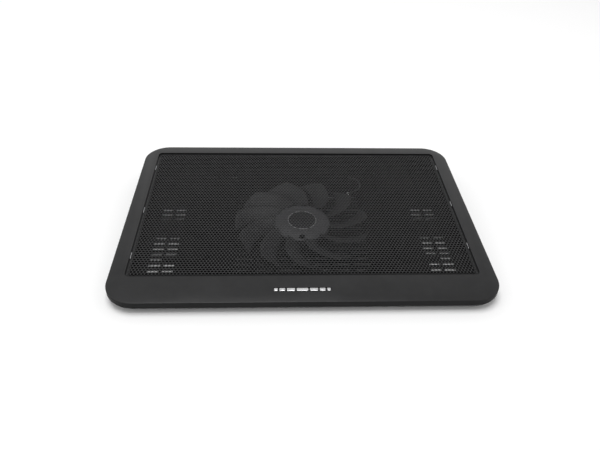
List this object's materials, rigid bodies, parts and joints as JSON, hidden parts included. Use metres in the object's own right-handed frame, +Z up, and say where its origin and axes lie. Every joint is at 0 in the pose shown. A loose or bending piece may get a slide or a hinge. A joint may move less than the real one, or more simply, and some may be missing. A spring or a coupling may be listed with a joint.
{
  "type": "laptop cooling pad",
  "caption": "Wedge-shaped laptop cooling pad with a perforated metal deck, a wide bladed fan under it, a slotted tray and folding rear legs.",
  "frame": {"origin": "on the table, under the middle of the pad", "axes": "+Z up, +Y from the user's edge towards the high rear edge, +X to the user's right"},
  "size_m": [0.35, 0.2497, 0.0298],
  "materials": {
    "frame_plastic": "fine satin moulding, near black",
    "panel_metal": "black powder coat on perforated sheet steel",
    "silver_trim": "bright satin",
    "shell_plastic": "matt black moulding",
    "leg_plastic": "matt black moulding",
    "fan_plastic": "satin charcoal moulding",
    "disc_foil": "plain grey foil",
    "steel": "bright zinc",
    "ferrite": "matt sintered",
    "copper": "enamelled winding wire",
    "sintered_bronze": "oiled sintered bronze",
    "nylon": "natural",
    "circuit_board": "green solder mask",
    "cable_jacket": "black PVC",
    "rubber": "matt black"
  },
  "bodies": {
    "base": {"top_frame": "frame_plastic", "mesh_panel": "panel_metal", "front_mark": "silver_trim", "bottom_shell": "shell_plastic", "thrust_washer": "nylon", "bearing_sleeve": "sintered_bronze", "stator_core": "steel", "coil_1": "copper", "coil_2": "copper", "coil_3": "copper", "coil_4": "copper", "motor_board": "circuit_board", "motor_screw_1": "steel", "motor_screw_2": "steel", "motor_screw_3": "steel", "fan_lead": "cable_jacket", "cord_grommet": "rubber", "case_screw_1": "steel", "case_screw_2": "steel", "case_screw_3": "steel", "case_screw_4": "steel", "case_screw_5": "steel", "case_screw_6": "steel", "leg_pin_left": "steel", "leg_pin_right": "steel", "foot_front_left": "rubber", "foot_front_right": "rubber", "foot_rear_left": "rubber", "foot_rear_right": "rubber"},
    "rotor": {"fan_rotor": "fan_plastic", "hub_disc": "disc_foil", "rotor_yoke": "steel", "ring_magnet": "ferrite", "rotor_shaft": "steel", "shaft_clip": "steel"},
    "left_leg": {"leg_left": "leg_plastic", "leg_pad_left": "rubber"},
    "right_leg": {"leg_right": "leg_plastic", "leg_pad_right": "rubber"}
  },
  "joints": [
    {"name": "fan_spin", "type": "hinge", "parent": "base", "child": "rotor", "pos_m": [0.001, -0.00876, 0.01028], "axis": [0, -0.0715, 0.9974], "continuous": true},
    {"name": "left_leg_fold", "type": "hinge", "parent": "base", "child": "left_leg", "pos_m": [-0.1118, 0.1035, 0.0065], "axis": [1, 0, 0], "range_deg": [0, 90]},
    {"name": "right_leg_fold", "type": "hinge", "parent": "base", "child": "right_leg", "pos_m": [0.1118, 0.1035, 0.0065], "axis": [1, 0, 0], "range_deg": [0, 90]}
  ]
}
